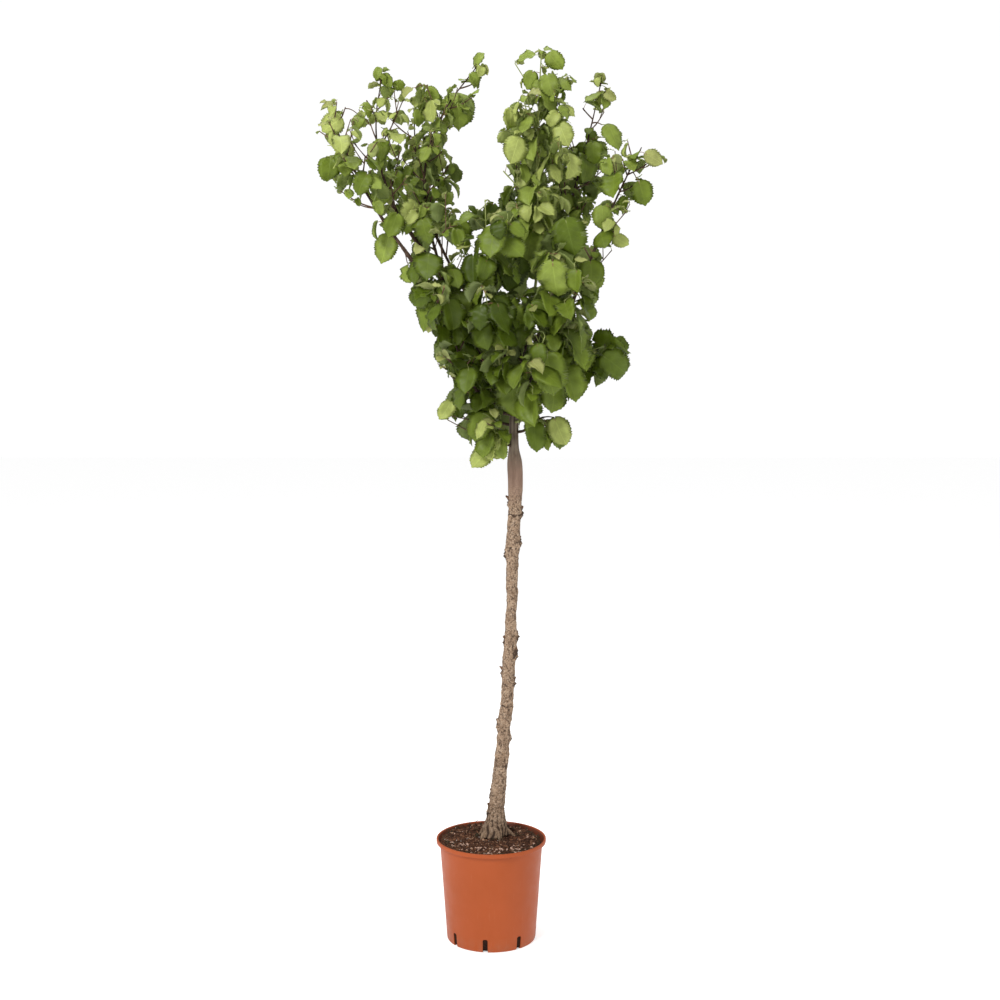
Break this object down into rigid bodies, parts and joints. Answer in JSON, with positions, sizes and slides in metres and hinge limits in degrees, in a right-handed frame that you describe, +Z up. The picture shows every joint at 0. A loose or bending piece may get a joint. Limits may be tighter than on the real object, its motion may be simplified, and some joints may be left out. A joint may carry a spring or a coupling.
{
  "type": "potted apricot tree",
  "caption": "Young half-standard apricot tree in a round terracotta-brown nursery pot, with a knotted trunk and an open, Y-shaped crown of broad green leaves.",
  "frame": {"origin": "the centre of the pot's flat underside", "axes": "+Z up along the trunk, +X to the right and -Y towards the viewer when the tree is seen from its front, which shows the crown's long left limb on -X"},
  "size_m": [0.6782, 0.452, 1.757],
  "materials": {
    "pot_plastic": "satin moulded polypropylene, terracotta brown",
    "soil": "dark crumbly compost with pale chips",
    "bark": "grey-brown young bark with pores and cracks",
    "leaf": "mid-green satin leaves with paler undersides"
  },
  "bodies": {
    "root": {"pot": "pot_plastic", "soil": "soil", "trunk": "bark", "bough_left": "bark", "bough_left_outer": "bark", "bough_left_inner": "bark", "bough_left_back": "bark", "bough_leader": "bark", "bough_back": "bark", "bough_right": "bark", "bough_right_outer": "bark", "foliage_left": "leaf", "foliage_left_outer": "leaf", "foliage_left_inner": "leaf", "foliage_left_back": "leaf", "foliage_left_front": "leaf", "foliage_top": "leaf", "foliage_back": "leaf", "foliage_right": "leaf", "foliage_right_outer": "leaf", "foliage_front": "leaf", "foliage_right_back": "leaf", "foliage_low_left": "leaf", "foliage_low_right": "leaf", "foliage_low_front": "leaf", "foliage_low_back": "leaf", "foliage_lowest_left": "leaf", "foliage_lowest_right": "leaf"}
  },
  "joints": []
}
